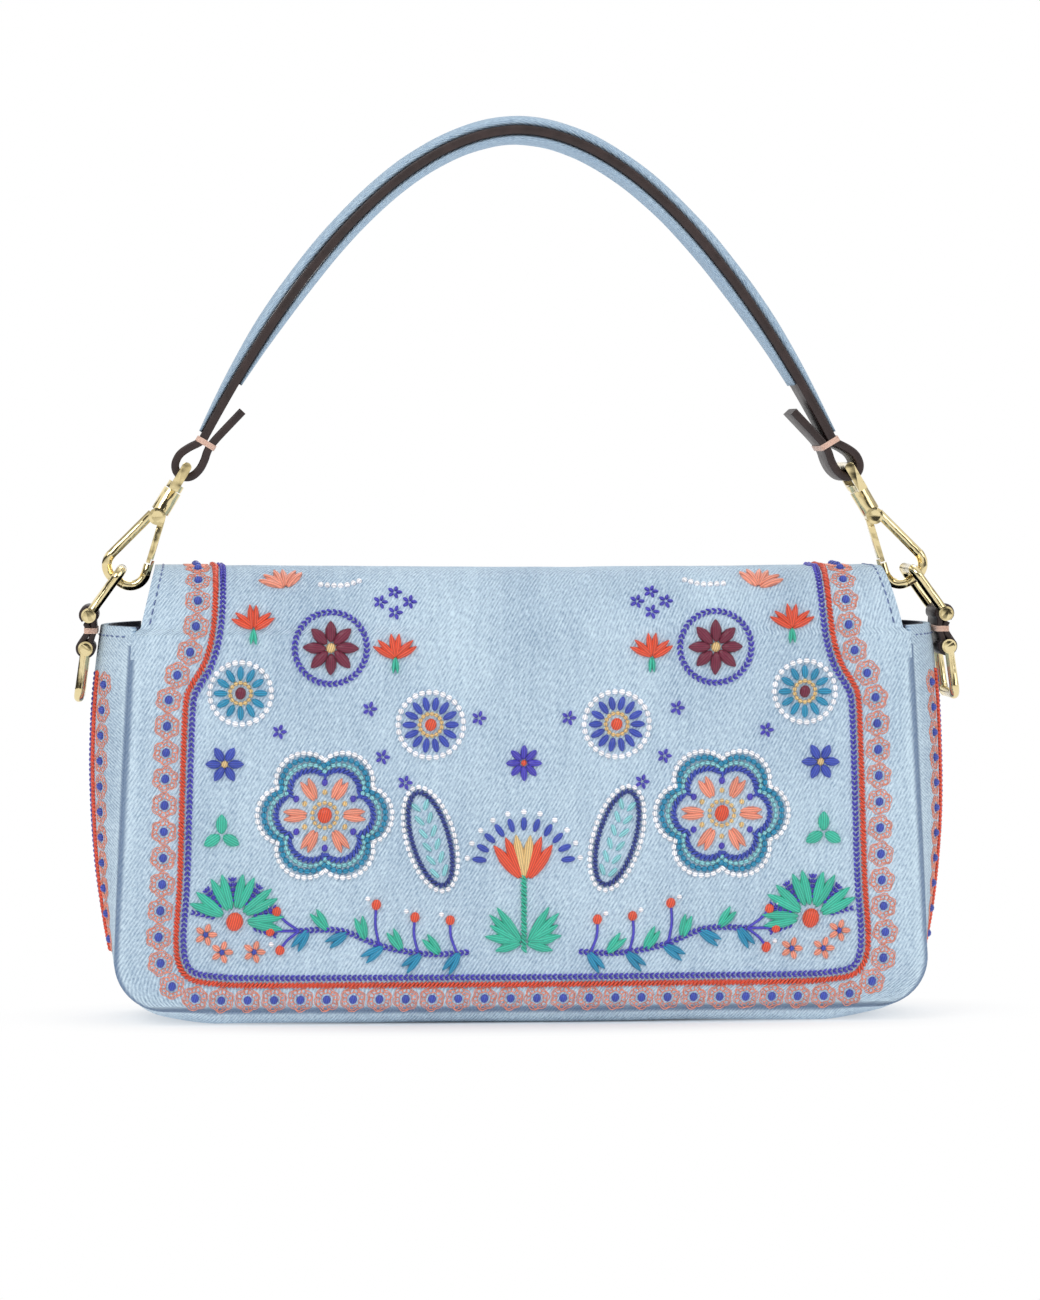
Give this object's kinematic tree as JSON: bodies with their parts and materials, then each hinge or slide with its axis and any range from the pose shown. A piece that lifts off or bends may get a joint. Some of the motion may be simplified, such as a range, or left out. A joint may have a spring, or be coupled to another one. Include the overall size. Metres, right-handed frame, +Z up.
{
  "type": "baguette bag",
  "caption": "Wide, shallow flap bag in light denim with rounded sides, a short padded strap on swivel hooks, side links, a magnet closure and a lined inside with a zip pocket.",
  "frame": {"origin": "middle of the resting base, under the centre of the closed bag", "axes": "+X to the right along the width when seen from the back panel, +Y from the back panel to the flap's front, +Z up"},
  "size_m": [0.2798, 0.06, 0.284],
  "materials": {
    "denim": "light blue twill denim with embroidery",
    "strap_denim": "light blue twill denim",
    "lining": "dark navy cotton lining",
    "board": "fibreboard",
    "magnet": "plated magnet disc",
    "zip_tape": "woven tape",
    "thread": "thick waxed thread",
    "leather": "dark brown leather with painted edges",
    "spring_steel": "wire",
    "gold_metal": "pale gold plated, polished"
  },
  "bodies": {
    "bag": {"back_panel": "denim", "front_panel": "denim", "left_gusset": "denim", "right_gusset": "denim", "base_gusset": "denim", "back_lining": "lining", "front_lining": "lining", "side_lining": "lining", "roof_lining": "lining", "base_board": "board", "body_magnet": "magnet", "zip_pocket": "lining", "zip_tape": "zip_tape", "zip_teeth": "gold_metal", "left_tab": "leather", "right_tab": "leather", "tab_threads": "thread"},
    "flap": {"flap": "denim", "flap_lining": "lining", "flap_magnet": "magnet"},
    "strap": {"strap_core": "leather", "strap_outer_cover": "strap_denim", "strap_inner_cover": "strap_denim", "strap_threads": "thread", "left_hook_eye": "gold_metal", "right_hook_eye": "gold_metal"},
    "zip_slider": {"zip_slider": "gold_metal"},
    "zip_pull": {"zip_pull": "gold_metal"},
    "left_hook": {"left_hook_body": "gold_metal", "left_gate_pin": "gold_metal", "left_gate_spring": "spring_steel"},
    "left_gate": {"left_hook_gate": "gold_metal"},
    "left_upper_link": {"left_upper_link": "gold_metal", "left_upper_pin": "gold_metal"},
    "left_lower_link": {"left_lower_link": "gold_metal", "left_lower_pin": "gold_metal"},
    "right_hook": {"right_hook_body": "gold_metal", "right_gate_pin": "gold_metal", "right_gate_spring": "spring_steel"},
    "right_gate": {"right_hook_gate": "gold_metal"},
    "right_upper_link": {"right_upper_link": "gold_metal", "right_upper_pin": "gold_metal"},
    "right_lower_link": {"right_lower_link": "gold_metal", "right_lower_pin": "gold_metal"}
  },
  "joints": [
    {"name": "flap_lift", "type": "hinge", "parent": "bag", "child": "flap", "pos_m": [0, 0.01393, 0.14129], "axis": [1, 0, 0], "range_deg": [0, 115]},
    {"name": "strap_swing", "type": "hinge", "parent": "bag", "child": "strap", "pos_m": [0, 0, 0.13851], "axis": [1, 0, 0], "range_deg": [-45, 45]},
    {"name": "left_hook_swivel", "type": "hinge", "parent": "strap", "child": "left_hook", "pos_m": [-0.11374, 0, 0.1584], "axis": [-0.515, 0, -0.8572], "range_deg": [-20, 20]},
    {"name": "left_gate_swing", "type": "hinge", "parent": "left_hook", "child": "left_gate", "pos_m": [-0.11374, 0, 0.1584], "axis": [0, 1, 0], "range_deg": [0, 20], "stiffness_Nm_per_rad": 0.005, "springref_deg": -11.46},
    {"name": "left_upper_link_swing", "type": "hinge", "parent": "bag", "child": "left_upper_link", "pos_m": [-0.13517, 0, 0.1276], "axis": [0, -1, 0], "range_deg": [-6, 3]},
    {"name": "left_lower_link_swing", "type": "hinge", "parent": "bag", "child": "left_lower_link", "pos_m": [-0.13619, 0, 0.1172], "axis": [0, 1, 0], "range_deg": [-5, 135]},
    {"name": "right_hook_swivel", "type": "hinge", "parent": "strap", "child": "right_hook", "pos_m": [0.11374, 0, 0.1584], "axis": [-0.515, 0, 0.8572], "range_deg": [-20, 20]},
    {"name": "right_gate_swing", "type": "hinge", "parent": "right_hook", "child": "right_gate", "pos_m": [0.11374, 0, 0.1584], "axis": [0, -1, 0], "range_deg": [0, 20], "stiffness_Nm_per_rad": 0.005, "springref_deg": -11.46},
    {"name": "right_upper_link_swing", "type": "hinge", "parent": "bag", "child": "right_upper_link", "pos_m": [0.13517, 0, 0.1276], "axis": [0, 1, 0], "range_deg": [-6, 3]},
    {"name": "right_lower_link_swing", "type": "hinge", "parent": "bag", "child": "right_lower_link", "pos_m": [0.13619, 0, 0.1172], "axis": [0, -1, 0], "range_deg": [-5, 135]},
    {"name": "zip_slide", "type": "slide", "parent": "bag", "child": "zip_slider", "axis": [-1, 0, 0], "range_m": [0, 0.12]},
    {"name": "zip_pull_swing", "type": "hinge", "parent": "zip_slider", "child": "zip_pull", "pos_m": [0.061, -0.0206, 0.1], "axis": [0, 0, -1], "range_deg": [0, 170]}
  ]
}
